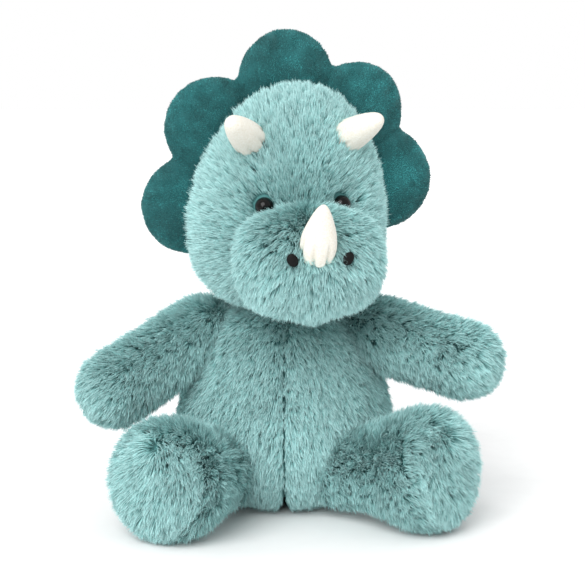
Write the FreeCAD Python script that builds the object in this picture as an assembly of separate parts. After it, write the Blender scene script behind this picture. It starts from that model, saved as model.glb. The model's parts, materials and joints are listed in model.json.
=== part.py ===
"""A seated plush horned dinosaur: fur-fabric panels sewn over stuffing, with a padded frill.

Frame: +Z up, the toy faces -Y, its own left is +X. The origin is the centre of the flat seat
on the floor. Every soft skin is a shell as thick as its backing and pile together. Each limb
ends in a ball that turns in a dish of the torso, with a ring of seam thread in the gap.
"""
import FreeCAD, Part
import math
import os

V = FreeCAD.Vector

# ---------------------------------------------------------------- driving dimensions, mm
FUR = 8.0                 # fur fabric, backing and pile together
SEW_GAP = 0.2             # between pieces sewn or packed against each other
TURN_GAP = 0.7            # between a ball end, its seam thread and its dish
THREAD_R = 0.8            # seam thread, doubled

SEAT_R = 39.0             # flat part of the seat
BELLY_R = 73.0            # widest ring of the torso
BELLY_Z = 50.0
CHEST_R = 62.0
CHEST_Z = 98.0
SHOULDER_ROUND_R = 60.0   # from the chest in to the neck
NECK_BALL_R = 40.0        # rounded top of the torso, under the head
NECK_VALLEY_R = 5.0       # valley between shoulder and neck
NECK_Z = 108.0            # height of the neck's turning centre

HEAD_R = 66.0             # widest ring of the head
HEAD_WIDE_Z = 188.0
HEAD_TOP_Z = 284.0
HEAD_BOTTOM_Z = 132.0
HEAD_CROWN_R = 48.0       # rounding at the top of the head
HEAD_CHIN_R = 80.0        # flatter rounding underneath
HEAD_FORWARD = 5.0        # the head sits this far ahead of the torso's axis
HEAD_YAW = 11.5           # rest turn of the head to the toy's left, degrees

MUZZLE_HALF_WIDTH = 48.0
MUZZLE_R = 38.0
MUZZLE_CHEEK_R = 28.0     # rounding at the barrel's ends
MUZZLE_AHEAD = 74.0       # muzzle's cross axis, ahead of the head's axis
MUZZLE_Z = 175.0

FRILL_Z = 198.0           # centre of the scalloped frill
FRILL_BEHIND = 8.0        # frill's middle plane, behind the head's axis
FRILL_CLOTH = 2.0
FRILL_PAD = 7.0
# the frill's outline: (degrees from upright, radius)
FRILL_VALLEYS = [(-116.0, 66.0), (-65.0, 81.0), (-19.5, 89.0), (19.5, 98.0), (57.0, 94.0), (104.0, 67.0)]
FRILL_TIPS = [(-90.0, 95.0), (-45.0, 104.0), (0.0, 118.0), (42.0, 112.0), (76.0, 103.0)]
FRILL_HEM = 3.0           # sewn edge that holds no padding

HORN_CLOTH = 1.4
HORN_ROOT_Z = -12.0       # a horn's outline starts this deep, before the head is cut away
BROW_HORN = dict(base_r=11.0, tip_r=4.0, length=35.0)
BROW_HORN_X = 34.0
BROW_HORN_Z = 250.0
BROW_HORN_AIM = V(0.50, -0.75, 0.43)
NOSE_HORN = dict(base_r=11.0, tip_r=3.0, length=33.0)
NOSE_HORN_PITCH = 28.0    # degrees round the muzzle, up from straight ahead
NOSE_HORN_LEAN = 30.0     # degrees forward of upright

EYE_R = 6.0
EYE_X = 26.0
EYE_Z = 207.0
EYE_AHEAD = 58.0          # from the head's axis to the eyes
EYE_TILT = 0.16           # upward slope of an eye's aim
EYE_SINK = 3.0            # the dome's rim lies this deep in the pile
SHANK_R = 1.6
SHANK_LENGTH = 15.0
WASHER_R = 5.5
WASHER_THICK = 1.2
WASHER_FIT = 0.05
NOSTRIL_R = 4.0
NOSTRIL_PROUD = 2.2
NOSTRIL_X = 17.8
NOSTRIL_Z = 182.0

ARM_BALL_R = 22.0
ARM_TIP_R = 24.5
ARM_LENGTH = 78.0         # from the shoulder's centre to the centre of the paw
SHOULDER = V(53.0, -6.0, 117.0)
ARM_FORWARD = {"left": 30.0, "right": 34.0}
ARM_DROOP = {"left": 10.0, "right": 25.0}

THIGH_R = 27.0
FOOT_R = 41.0
SOLE_EDGE_R = 15.0        # rounding between the foot's side and its sole
SOLE_DOME = 1.5
LEG_LENGTH = 94.0         # from the hip's centre to the sole
THIGH_END = 0.30          # shares of the leg's length: the straight thigh ends,
CALF_MIDDLE = 0.46        # the widening calf is half way,
CALF_END = 0.60           # the calf ends
TOE_MIDDLE = 0.70         # and the foot is half way to the toes
CALF_R = 31.5             # at the calf's middle
ANKLE_IN = 3.2            # narrower than the foot at the calf's end
TOE_IN = 0.8              # narrower than the foot at the foot's middle
HIP = V(36.0, -42.0, 32.0)
LEG_SPLAY = {"left": 55.0, "right": 32.0}
LEG_RISE = {"left": 7.0, "right": 5.5}   # degrees up from the hip to the foot

TAIL_ROOT_R = 26.0
TAIL_TIP_R = 9.0
TAIL_LENGTH = 70.0
TAIL_ROOT = V(0.0, 60.0, 30.0)
TAIL_DROP = 14.0          # degrees down from the root to the tip

POUCH_R = 24.0
POUCH_Z = (9.6, 34.0)
POUCH_BEHIND = 6.0
POUCH_CLOTH = 0.8
POUCH_EDGE_R = 7.0

STITCHES = 10             # hand stitches up the middle of the back
STITCH_LOW_Z = 64.0
STITCH_STEP = 4.5
STITCH_LENGTH = 4.8
STITCH_DEPTH = 0.7        # share of the pile's depth

LABEL_AROUND = 38.0       # degrees behind the toy's left side
LABEL_Z = 40.0
LABEL_LENGTH = 24.0
LABEL_WIDTH = 16.0
LABEL_THICK = 1.2         # two layers of ribbon
LABEL_EDGE_R = 0.5
LABEL_GAP = 0.3           # from the skin to the ribbon

ARM_SWEEP = dict(raised=11.0, spread=24.0)       # middle of a limb's travel, and its half width
LEG_SWEEP = dict(raised=11.0, spread=17.0)
TAIL_SWEEP = 21.0
RELIEF_REACH = 70.0       # from a limb's pivot to well outside the torso
SHOULDER_RING = 138.0     # polar angle of each seam ring, from where its limb points
HIP_RING = 132.0
NECK_RING = 34.0

SIDES = {"left": 1.0, "right": -1.0}
FAR = 400.0               # larger than the toy, for cutting
NECK = V(0.0, 0.0, NECK_Z)
UP = V(0.0, 0.0, 1.0)


# ---------------------------------------------------------------- helpers
def line(r, z):
    """A straight run of a turned outline, to radius r and height z."""
    return [(r, z)]


def arc(through_r, through_z, r, z):
    """A round run of a turned outline, through one point to the next."""
    return [(through_r, through_z), (r, z)]


def about(centre, start, stop):
    """A round run of a turned outline about a centre, less than half a turn."""
    out_r = start[0] + stop[0] - 2.0 * centre[0]
    out_z = start[1] + stop[1] - 2.0 * centre[1]
    reach = math.dist(centre, stop) / math.hypot(out_r, out_z)
    return [(centre[0] + out_r * reach, centre[1] + out_z * reach), stop]


def quarter_oval(middle_z, half_width, height, pole_r):
    """A quarter of an oval as two tangent arcs, from its widest ring to its pole or, below, back."""
    rise = abs(height) - pole_r
    side_r = (half_width ** 2 + rise ** 2 - pole_r ** 2) / (2.0 * (half_width - pole_r))
    side = (half_width - side_r, middle_z)
    pole = (0.0, middle_z + math.copysign(1.0, height) * rise)
    share = side_r / (side_r - pole_r)
    join = (side[0] + share * (pole[0] - side[0]), side[1] + share * (pole[1] - side[1]))
    widest = (half_width, middle_z)
    tip = (0.0, middle_z + height)
    if height > 0.0:
        return [about(side, widest, join), about(pole, join, tip)]
    return [about(pole, tip, join), about(side, join, widest)]


def turned(start_z, runs, inset=0.0):
    """Solid turned about Z from an outline that starts and ends on the axis."""
    here = V(0.0, 0.0, start_z)
    edges = []
    for run in runs:
        points = [V(r, 0.0, z) for r, z in run]
        if len(points) == 1:
            edges.append(Part.makeLine(here, points[0]))
        else:
            edges.append(Part.Arc(here, points[0], points[1]).toShape())
        here = points[-1]
    if inset:
        edges = moved_inward(edges, inset)
    bottom = edges[0].Vertexes[0].Point
    top = edges[-1].Vertexes[-1].Point
    face = Part.Face(Part.Wire(edges + [Part.makeLine(top, bottom)]))
    solid = face.revolve(V(), UP, 360.0)
    return solid if solid.Volume > 0.0 else solid.reversed()


def moved_inward(edges, depth):
    """The same outline a little inside itself: lines stay lines and arcs stay arcs."""
    def inward(edge, parameter):
        along = edge.tangentAt(parameter)
        return V(-along.z, 0.0, along.x)

    first = inward(edges[0], edges[0].FirstParameter)
    corners = [edges[0].Vertexes[0].Point + V(0.0, 0.0, depth * math.copysign(1.0, first.z))]
    for edge, after in zip(edges, edges[1:]):
        both = inward(edge, edge.LastParameter) + inward(after, after.FirstParameter)
        corners.append(edge.Vertexes[-1].Point + both * (2.0 * depth / both.dot(both)))
    last = inward(edges[-1], edges[-1].LastParameter)
    corners.append(edges[-1].Vertexes[-1].Point + V(0.0, 0.0, depth * math.copysign(1.0, last.z)))
    moved = []
    for edge, start, stop in zip(edges, corners, corners[1:]):
        if isinstance(edge.Curve, Part.Line):
            moved.append(Part.makeLine(start, stop))
            continue
        middle = (edge.FirstParameter + edge.LastParameter) / 2.0
        through = edge.valueAt(middle) + inward(edge, middle) * depth
        moved.append(Part.Arc(start, through, stop).toShape())
    return moved


def capsule(root_r, tip_r, length, inset=0.0):
    """A stuffed tube along +Z, its root ball centred on the origin."""
    lean = math.asin((root_r - tip_r) / length)
    root_edge = (root_r * math.cos(lean), root_r * math.sin(lean))
    tip_edge = (tip_r * math.cos(lean), length + tip_r * math.sin(lean))
    low = math.radians(-45.0)
    high = math.radians(45.0) + lean / 2.0
    runs = [
        arc(root_r * math.cos(low), root_r * math.sin(low), *root_edge),
        line(*tip_edge),
        arc(tip_r * math.cos(high), length + tip_r * math.sin(high), 0.0, length + tip_r),
    ]
    return turned(-root_r, runs, inset)


def leg_outline(inset=0.0):
    """Thigh, wide rounded foot and a nearly flat sole, along +Z."""
    toe_z = LEG_LENGTH - SOLE_DOME - SOLE_EDGE_R
    corner = SOLE_EDGE_R * math.sqrt(0.5)
    sole_r = FOOT_R - SOLE_EDGE_R
    runs = [
        arc(THIGH_R * math.sqrt(0.5), -THIGH_R * math.sqrt(0.5), THIGH_R, 0.0),
        line(THIGH_R, THIGH_END * LEG_LENGTH),
        arc(CALF_R, CALF_MIDDLE * LEG_LENGTH, FOOT_R - ANKLE_IN, CALF_END * LEG_LENGTH),
        arc(FOOT_R - TOE_IN, TOE_MIDDLE * LEG_LENGTH, FOOT_R, toe_z),
        arc(sole_r + corner, toe_z + corner, sole_r, toe_z + SOLE_EDGE_R),
        line(0.0, LEG_LENGTH),
    ]
    return turned(-THIGH_R, runs, inset)


def horn_outline(base_r, tip_r, length, inset=0.0):
    """A plump cone along +Z with a blunt tip; its base runs on below the skin."""
    runs = [line(base_r, HORN_ROOT_Z), line(base_r, 0.0)]
    return turned(HORN_ROOT_Z, runs + quarter_oval(0.0, base_r, length, tip_r), inset)


def aimed(shape, position, direction):
    """The shape with its +Z along a direction and its origin at a position."""
    copy = shape.copy()
    copy.Placement = FreeCAD.Placement(position, FreeCAD.Rotation(UP, direction))
    return copy


def on_head(shape):
    """From the head's own frame, facing -Y on the Z axis, to its place on the toy."""
    copy = shape.copy()
    copy.translate(V(0.0, -HEAD_FORWARD, 0.0))
    copy.rotate(V(), UP, HEAD_YAW)
    return copy


def half_space(origin, normal):
    """A large box on the side of a plane that its normal points to."""
    block = Part.makeBox(2.0 * FAR, 2.0 * FAR, FAR, V(-FAR, -FAR, 0.0))
    return aimed(block, origin, normal)


def side_of(shape, origin, normal):
    """The part of a shape on one side of a sewn seam, half a gap back from it."""
    unit = V(normal).normalize()
    return main_solid(shape.common(half_space(origin + unit * (SEW_GAP / 2.0), unit)))


def main_solid(shape):
    """The largest solid of a cut, without slivers."""
    return max(shape.Solids, key=lambda solid: solid.Volume)


def exit_point(solid, origin, direction):
    """Where a ray from inside leaves a solid."""
    ray = Part.makeLine(origin, origin + V(direction).normalize() * FAR)
    inside = solid.common(ray)
    return max((v.Point for v in inside.Vertexes), key=lambda p: p.distanceToPoint(origin))


def seam_ring(pivot, ball_r, direction, polar):
    """Thread on a ball end: a ring about a direction, at a polar angle from it."""
    reach = ball_r + TURN_GAP + THREAD_R
    angle = math.radians(polar)
    ring = Part.makeTorus(reach * math.sin(angle), THREAD_R, V(0.0, 0.0, reach * math.cos(angle)), UP)
    return aimed(ring, pivot, direction)


def dish(pivot, ball_r):
    """Hollow that a ball end and its seam thread turn in."""
    return Part.makeSphere(ball_r + 2.0 * TURN_GAP + 2.0 * THREAD_R, pivot)


def relief(pivot, ball_r, direction, spread, reach):
    """Room for a limb that sweeps a cone of directions about its pivot."""
    angle = math.radians(spread)
    grown = ball_r + 2.0 * TURN_GAP
    foot_r = grown * math.cos(angle)
    foot_z = -grown * math.sin(angle)
    height = reach - foot_z
    cone = Part.makeCone(foot_r, foot_r + height * math.tan(angle), height, V(0.0, 0.0, foot_z), UP)
    return aimed(cone, pivot, direction)


def save(name, shape):
    """Write one sub-part and say how large it is."""
    shape.exportStep(f"parts/{name}.step")
    volume = shape.Volume / 1000.0
    print(f"{name:28s} {len(shape.Solids):2d} solid(s) {volume:9.3f} cm3 valid {shape.isValid()}")


# ---------------------------------------------------------------- where the limbs point
def arm_direction(side):
    """Outward, forward and down, from the shoulder."""
    forward = math.radians(ARM_FORWARD[side])
    droop = math.radians(ARM_DROOP[side])
    level = math.cos(droop)
    return V(SIDES[side] * level * math.cos(forward), -level * math.sin(forward), -math.sin(droop))


def leg_direction(side, lifted=0.0):
    """Forward and outward, from the hip, and a little up."""
    splay = math.radians(LEG_SPLAY[side])
    rise = math.radians(LEG_RISE[side] + lifted)
    level = math.cos(rise)
    return V(SIDES[side] * level * math.sin(splay), -level * math.cos(splay), math.sin(rise))


def mirrored(point, side):
    """A point given for the toy's left, on either side."""
    return V(SIDES[side] * point.x, point.y, point.z)


TAIL_DIRECTION = V(0.0, math.cos(math.radians(TAIL_DROP)), -math.sin(math.radians(TAIL_DROP)))


# ---------------------------------------------------------------- torso
def torso_outline(inset=0.0):
    """Pear-shaped body: flat seat, round belly, sloping chest, shoulder and a rounded top."""
    seat_edge = BELLY_R - SEAT_R
    flank_r = ((CHEST_Z - BELLY_Z) ** 2 + (BELLY_R - CHEST_R) ** 2) / (2.0 * (BELLY_R - CHEST_R))
    flank = (BELLY_R - flank_r, BELLY_Z)
    share = SHOULDER_ROUND_R / flank_r
    shoulder = (CHEST_R - share * (CHEST_R - flank[0]), CHEST_Z - share * (CHEST_Z - flank[1]))
    neck = (0.0, NECK_Z)
    valley = touching_both(shoulder, SHOULDER_ROUND_R, neck, NECK_BALL_R, NECK_VALLEY_R)
    valley_low = between(valley, shoulder, NECK_VALLEY_R)
    valley_high = between(valley, neck, NECK_VALLEY_R)
    chest = (CHEST_R, CHEST_Z)
    runs = [
        line(SEAT_R, 0.0),
        about((SEAT_R, seat_edge), (SEAT_R, 0.0), (BELLY_R, seat_edge)),
        line(BELLY_R, BELLY_Z),
        about(flank, (BELLY_R, BELLY_Z), chest),
        about(shoulder, chest, valley_low),
        about(valley, valley_low, valley_high),
        about(neck, valley_high, (0.0, NECK_Z + NECK_BALL_R)),
    ]
    return turned(0.0, runs, inset)


def touching_both(low, low_r, high, high_r, valley_r):
    """Centre of the round valley that touches two circles of the outline from outside."""
    apart = math.dist(low, high)
    along = ((low_r + valley_r) ** 2 - (high_r + valley_r) ** 2 + apart ** 2) / (2.0 * apart)
    out = math.sqrt((low_r + valley_r) ** 2 - along ** 2)
    step = ((high[0] - low[0]) / apart, (high[1] - low[1]) / apart)
    return (low[0] + along * step[0] + out * step[1], low[1] + along * step[1] - out * step[0])


def between(start, stop, distance):
    """The point at a distance from one point towards another."""
    share = distance / math.dist(start, stop)
    return (start[0] + share * (stop[0] - start[0]), start[1] + share * (stop[1] - start[1]))


def torso_cutters():
    """Dishes for the limbs' ball ends and the room that their travel needs."""
    cutters = []
    for side in SIDES:
        shoulder = mirrored(SHOULDER, side)
        aim = arm_direction(side)
        level = V(aim.x, aim.y, 0.0).normalize()
        lifted = math.asin(aim.z) + math.radians(ARM_SWEEP["raised"])
        middle = level * math.cos(lifted) + UP * math.sin(lifted)
        cutters.append(dish(shoulder, ARM_BALL_R))
        cutters.append(relief(shoulder, ARM_BALL_R, middle, ARM_SWEEP["spread"], RELIEF_REACH))
        hip = mirrored(HIP, side)
        middle = leg_direction(side, LEG_SWEEP["raised"])
        cutters.append(dish(hip, THIGH_R))
        cutters.append(relief(hip, THIGH_R, middle, LEG_SWEEP["spread"], RELIEF_REACH))
    cutters.append(Part.makeSphere(TAIL_ROOT_R + 1.5 * TURN_GAP, TAIL_ROOT))
    cutters.append(relief(TAIL_ROOT, TAIL_ROOT_R, TAIL_DIRECTION, TAIL_SWEEP, RELIEF_REACH))
    return cutters


def make_torso():
    """Four body panels, the seat, stuffing, the weighted pouch and the closing stitches."""
    outer = torso_outline()
    cutters = torso_cutters()
    body = outer.cut(cutters)
    stuffing = torso_outline(FUR + SEW_GAP).cut(cutters)
    skin = body.cut(torso_outline(FUR))
    seat_plane = V(0.0, 0.0, FUR)
    seat = side_of(skin, seat_plane, V(0.0, 0.0, -1.0))
    wall = side_of(skin, seat_plane, UP)
    stitches = closing_stitches(outer, THREAD_R / 2.0)
    stitch_holes = closing_stitches(outer, THREAD_R / 2.0 + SEW_GAP)
    for side, sign in SIDES.items():
        half = side_of(wall, V(), V(sign, 0.0, 0.0))
        save(f"chest_panel_{side}", side_of(half, V(), V(0.0, -1.0, 0.0)))
        save(f"back_panel_{side}", side_of(half, V(), V(0.0, 1.0, 0.0)).cut(stitch_holes))
    save("seat_panel", seat)
    pouch = pouch_outline(0.0)
    save("torso_stuffing", main_solid(stuffing).cut(pouch_outline(-SEW_GAP)))
    save("pellet_pouch", pouch.cut(pouch_outline(POUCH_CLOTH)))
    save("pellet_fill", pouch_outline(POUCH_CLOTH + SEW_GAP))
    save("closing_stitches", Part.makeCompound(stitches))
    save("care_label", care_label(outer))


def pouch_outline(inset):
    """Round weighted bag low in the torso, behind the hips."""
    low, high = POUCH_Z
    round_r = POUCH_EDGE_R
    corner = round_r * (1.0 - math.sqrt(0.5))
    runs = [
        line(POUCH_R - round_r, low),
        arc(POUCH_R - corner, low + corner, POUCH_R, low + round_r),
        line(POUCH_R, high - round_r),
        arc(POUCH_R - corner, high - corner, POUCH_R - round_r, high),
        line(0.0, high),
    ]
    bag = turned(low, runs, inset)
    bag.translate(V(0.0, POUCH_BEHIND, 0.0))
    return bag


def closing_stitches(outer, radius):
    """Hand stitches that close the middle back seam, below the pile."""
    stitches = []
    for count in range(STITCHES):
        height = STITCH_LOW_Z + STITCH_STEP * count
        skin = exit_point(outer, V(0.0, 0.0, height), V(0.0, 1.0, 0.0))
        start = V(-STITCH_LENGTH / 2.0, skin.y - STITCH_DEPTH * FUR, height)
        stitches.append(Part.makeCylinder(radius, STITCH_LENGTH, start, V(1.0, 0.0, 0.0)))
    return stitches


def care_label(outer):
    """Blank folded ribbon held in the left side of the back."""
    across = math.radians(LABEL_AROUND)
    outward = V(math.cos(across), math.sin(across), 0.0)
    skin = exit_point(outer, V(0.0, 0.0, LABEL_Z), outward)
    corner = V(LABEL_GAP, -LABEL_THICK / 2.0, -LABEL_WIDTH / 2.0)
    ribbon = Part.makeBox(LABEL_LENGTH, LABEL_THICK, LABEL_WIDTH, corner)
    upright = [edge for edge in ribbon.Edges if abs(edge.tangentAt(0).z) > 0.9]
    ribbon = ribbon.makeFillet(LABEL_EDGE_R, upright)
    ribbon.Placement = FreeCAD.Placement(skin, FreeCAD.Rotation(V(1.0, 0.0, 0.0), outward))
    return ribbon


# ---------------------------------------------------------------- head
def head_outline(inset=0.0):
    """Egg-shaped head, widest at the cheeks."""
    low = quarter_oval(HEAD_WIDE_Z, HEAD_R, HEAD_BOTTOM_Z - HEAD_WIDE_Z, HEAD_CHIN_R)
    high = quarter_oval(HEAD_WIDE_Z, HEAD_R, HEAD_TOP_Z - HEAD_WIDE_Z, HEAD_CROWN_R)
    return turned(HEAD_BOTTOM_Z, low + high, inset)


def muzzle_outline(inset=0.0):
    """Plump barrel across the face."""
    low = quarter_oval(0.0, MUZZLE_R, -MUZZLE_HALF_WIDTH, MUZZLE_CHEEK_R)
    high = quarter_oval(0.0, MUZZLE_R, MUZZLE_HALF_WIDTH, MUZZLE_CHEEK_R)
    barrel = turned(-MUZZLE_HALF_WIDTH, low + high, inset)
    return aimed(barrel, V(0.0, -MUZZLE_AHEAD, MUZZLE_Z), V(1.0, 0.0, 0.0))


def frill_face(inset=0.0):
    """Scalloped outline in the XZ plane, running on into the head."""
    def at(angle, radius):
        turn = math.radians(angle)
        return V(radius * math.sin(turn), 0.0, FRILL_Z + radius * math.cos(turn))

    edges = []
    for start, tip, stop in zip(FRILL_VALLEYS, FRILL_TIPS, FRILL_VALLEYS[1:]):
        edges.append(Part.Arc(at(*start), at(*tip), at(*stop)).toShape())
    centre = V(0.0, 0.0, FRILL_Z)
    edges.append(Part.makeLine(at(*FRILL_VALLEYS[-1]), centre))
    edges.append(Part.makeLine(centre, at(*FRILL_VALLEYS[0])))
    face = Part.Face(Part.Wire(Part.__sortEdges__(edges)))
    if inset:
        face = face.makeOffset2D(-inset)
    return face


def frill_layer(depth, thickness, head, inset=0.0):
    """One layer of the frill, cut away where the head is."""
    face = frill_face(inset)
    face.translate(V(0.0, FRILL_BEHIND + depth, 0.0))
    return face.extrude(V(0.0, thickness, 0.0)).cut(head)


def frill_pads(depth, head):
    """Padding in five pockets, parted by the stitched valleys."""
    padding = frill_layer(depth, FRILL_PAD, head, FRILL_HEM)
    for valley, _ in FRILL_VALLEYS[1:-1]:
        slot = Part.makeBox(1.6, FAR, FAR, V(-0.8, -FAR / 2.0, 0.0))
        slot.rotate(V(), V(0.0, 1.0, 0.0), valley)
        slot.translate(V(0.0, 0.0, FRILL_Z))
        padding = padding.cut(slot)
    return Part.makeCompound([solid for solid in padding.Solids if solid.Volume > 1000.0])


def eye_place(head, side):
    """Where an eye's rim sits in the pile, and the way it looks."""
    flat = math.atan2(EYE_X, EYE_AHEAD)
    aim = V(SIDES[side] * math.sin(flat), -math.cos(flat), EYE_TILT).normalize()
    rim = exit_point(head, V(0.0, 0.0, EYE_Z - EYE_TILT * EYE_AHEAD), aim)
    return rim - aim * EYE_SINK, aim


def make_eye(head, side):
    """Save a domed eye with its shank and lock washer; returns the room that they take."""
    seat, aim = eye_place(head, side)
    dome = Part.makeSphere(EYE_R, V(), UP, 0.0, 90.0, 360.0)
    shank = Part.makeCylinder(SHANK_R, SHANK_LENGTH, V(0.0, 0.0, -SHANK_LENGTH), UP)
    washer_hole = Part.makeCylinder(SHANK_R + WASHER_FIT, WASHER_THICK)
    washer = Part.makeCylinder(WASHER_R, WASHER_THICK).cut(washer_hole)
    behind = seat - aim * (FUR - EYE_SINK + WASHER_THICK + SEW_GAP)
    save(f"eye_{side}", on_head(aimed(dome.fuse(shank), seat, aim)))
    save(f"eye_washer_{side}", on_head(aimed(washer, behind, aim)))
    well = Part.makeCylinder(EYE_R + SEW_GAP, 12.0, V(0.0, 0.0, -SEW_GAP), UP)
    bore_length = SHANK_LENGTH + SEW_GAP
    bore = Part.makeCylinder(SHANK_R + SEW_GAP, bore_length, V(0.0, 0.0, -bore_length), UP)
    washer_room = Part.makeCylinder(WASHER_R + SEW_GAP, WASHER_THICK + 2.0 * SEW_GAP)
    return [aimed(well.fuse(bore), seat, aim), aimed(washer_room, behind - aim * SEW_GAP, aim)]


def make_horn(name, size, base, aim, under):
    """A stuffed cloth horn sewn on over the fur's backing."""
    outer = aimed(horn_outline(**size), base, aim).cut(under)
    filling = aimed(horn_outline(inset=HORN_CLOTH + SEW_GAP, **size), base, aim).cut(under)
    lining = aimed(horn_outline(inset=HORN_CLOTH, **size), base, aim)
    save(name, on_head(main_solid(outer.cut(lining))))
    save(f"{name}_stuffing", on_head(main_solid(filling)))


def make_head():
    """Face and back panels, muzzle, frill, horns, eyes and nostrils."""
    neck = dish(NECK, NECK_BALL_R)
    neck.translate(V(0.0, HEAD_FORWARD, 0.0))
    head = head_outline()
    grown_head = head_outline(-SEW_GAP)
    skin = head.cut(head_outline(FUR)).cut(neck)
    stuffing = head_outline(FUR + SEW_GAP).cut(neck)
    frill_plane = V(0.0, FRILL_BEHIND, 0.0)
    face = side_of(skin, frill_plane, V(0.0, -1.0, 0.0))
    eye_holes = []
    for side in SIDES:
        eye_holes += make_eye(head, side)
    stuffing = stuffing.cut(eye_holes)
    face = face.cut(eye_holes)
    for side, sign in SIDES.items():
        save(f"face_panel_{side}", on_head(side_of(face, V(), V(sign, 0.0, 0.0))))
    save("head_back_panel", on_head(side_of(skin, frill_plane, V(0.0, 1.0, 0.0))))
    save("head_stuffing", on_head(main_solid(stuffing)))
    make_muzzle(grown_head, eye_holes)
    middle = -FRILL_PAD / 2.0
    save("frill_front", on_head(frill_layer(middle - SEW_GAP - FRILL_CLOTH, FRILL_CLOTH, grown_head)))
    save("frill_back", on_head(frill_layer(middle + FRILL_PAD + SEW_GAP, FRILL_CLOTH, grown_head)))
    save("frill_batting", on_head(frill_pads(middle, grown_head)))
    for side, sign in SIDES.items():
        aim = V(sign * BROW_HORN_AIM.x, BROW_HORN_AIM.y, BROW_HORN_AIM.z)
        start = V(0.0, 0.0, BROW_HORN_Z)
        base = exit_point(head, start, V(sign * BROW_HORN_X, -37.0, 0.0))
        make_horn(f"brow_horn_{side}", BROW_HORN, base, aim, grown_head)


def make_muzzle(grown_head, eye_holes):
    """Two muzzle panels over their stuffing, the nostrils and the nose horn."""
    muzzle = muzzle_outline()
    skin = muzzle.cut(muzzle_outline(FUR)).cut(grown_head).cut(eye_holes)
    lens_r = (NOSTRIL_R ** 2 + NOSTRIL_PROUD ** 2) / (2.0 * NOSTRIL_PROUD)
    lens = about((0.0, NOSTRIL_PROUD - lens_r), (NOSTRIL_R, 0.0), (0.0, NOSTRIL_PROUD))
    pad = turned(0.0, [line(NOSTRIL_R, 0.0), lens])
    well = Part.makeCylinder(NOSTRIL_R + SEW_GAP, 8.0, V(0.0, 0.0, -SEW_GAP))
    for side, sign in SIDES.items():
        origin = V(sign * NOSTRIL_X, -MUZZLE_AHEAD, MUZZLE_Z)
        aim = V(0.0, -1.0, (NOSTRIL_Z - MUZZLE_Z) / MUZZLE_R)
        rim = exit_point(muzzle, origin, aim)
        outward = V(sign * 0.18, aim.y, aim.z).normalize()
        seat = rim - outward * 0.6 * NOSTRIL_PROUD
        save(f"nostril_{side}", on_head(aimed(pad, seat, outward)))
        skin = skin.cut(aimed(well, seat, outward))
    for side, sign in SIDES.items():
        save(f"muzzle_panel_{side}", on_head(side_of(skin, V(), V(sign, 0.0, 0.0))))
    stuffing = muzzle_outline(FUR + SEW_GAP).cut(grown_head).cut(eye_holes)
    save("muzzle_stuffing", on_head(main_solid(stuffing)))
    pitch = math.radians(NOSE_HORN_PITCH)
    lean = math.radians(NOSE_HORN_LEAN)
    base = V(0.0, -MUZZLE_AHEAD - MUZZLE_R * math.cos(pitch), MUZZLE_Z + MUZZLE_R * math.sin(pitch))
    aim = V(0.0, -math.sin(lean), math.cos(lean))
    make_horn("nose_horn", NOSE_HORN, base, aim, muzzle_outline(-SEW_GAP))


# ---------------------------------------------------------------- limbs and tail
def make_arm(side):
    """Two sewn halves round their stuffing, and the seam thread at the shoulder."""
    pivot = mirrored(SHOULDER, side)
    aim = arm_direction(side)
    skin = capsule(ARM_BALL_R, ARM_TIP_R, ARM_LENGTH).cut(capsule(ARM_BALL_R, ARM_TIP_R, ARM_LENGTH, FUR))
    filling = capsule(ARM_BALL_R, ARM_TIP_R, ARM_LENGTH, FUR + SEW_GAP)
    skin = aimed(skin, pivot, aim)
    across = V(-aim.y, aim.x, 0.0)
    seam = aim.cross(across)
    if seam.z < 0.0:
        seam = seam * -1.0
    save(f"arm_top_panel_{side}", side_of(skin, pivot, seam))
    save(f"arm_under_panel_{side}", side_of(skin, pivot, seam * -1.0))
    save(f"arm_stuffing_{side}", aimed(filling, pivot, aim))
    save(f"shoulder_seam_thread_{side}", seam_ring(pivot, ARM_BALL_R, aim, SHOULDER_RING))


def make_leg(side):
    """Thigh and foot with a round sole panel, and the seam thread at the hip."""
    pivot = mirrored(HIP, side)
    aim = leg_direction(side)
    floor = half_space(V(), UP)
    outer = aimed(leg_outline(), pivot, aim).common(floor)
    lining = aimed(leg_outline(FUR), pivot, aim).common(half_space(V(0.0, 0.0, FUR), UP))
    skin = outer.cut(lining)
    filling = aimed(leg_outline(FUR + SEW_GAP), pivot, aim)
    filling = main_solid(filling.common(half_space(V(0.0, 0.0, FUR + SEW_GAP), UP)))
    sole_plane = pivot + aim * (LEG_LENGTH - SOLE_DOME - 0.8 * SOLE_EDGE_R)
    save(f"foot_sole_{side}", side_of(skin, sole_plane, aim))
    tube = side_of(skin, sole_plane, aim * -1.0)
    seam = aim.cross(V(-aim.y, aim.x, 0.0))
    if seam.z < 0.0:
        seam = seam * -1.0
    save(f"leg_top_panel_{side}", side_of(tube, pivot, seam))
    save(f"leg_under_panel_{side}", side_of(tube, pivot, seam * -1.0))
    save(f"leg_stuffing_{side}", filling)
    save(f"hip_seam_thread_{side}", seam_ring(pivot, THIGH_R, aim, HIP_RING))


def make_tail():
    """Short tapered tail in two halves, resting on the floor."""
    floor = half_space(V(), UP)
    outer = aimed(capsule(TAIL_ROOT_R, TAIL_TIP_R, TAIL_LENGTH), TAIL_ROOT, TAIL_DIRECTION).common(floor)
    lining = aimed(capsule(TAIL_ROOT_R, TAIL_TIP_R, TAIL_LENGTH, FUR), TAIL_ROOT, TAIL_DIRECTION)
    filling = aimed(capsule(TAIL_ROOT_R, TAIL_TIP_R, TAIL_LENGTH, FUR + SEW_GAP), TAIL_ROOT, TAIL_DIRECTION)
    skin = outer.cut(lining)
    for side, sign in SIDES.items():
        save(f"tail_panel_{side}", side_of(skin, V(), V(sign, 0.0, 0.0)))
    save("tail_stuffing", main_solid(filling))


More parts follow.
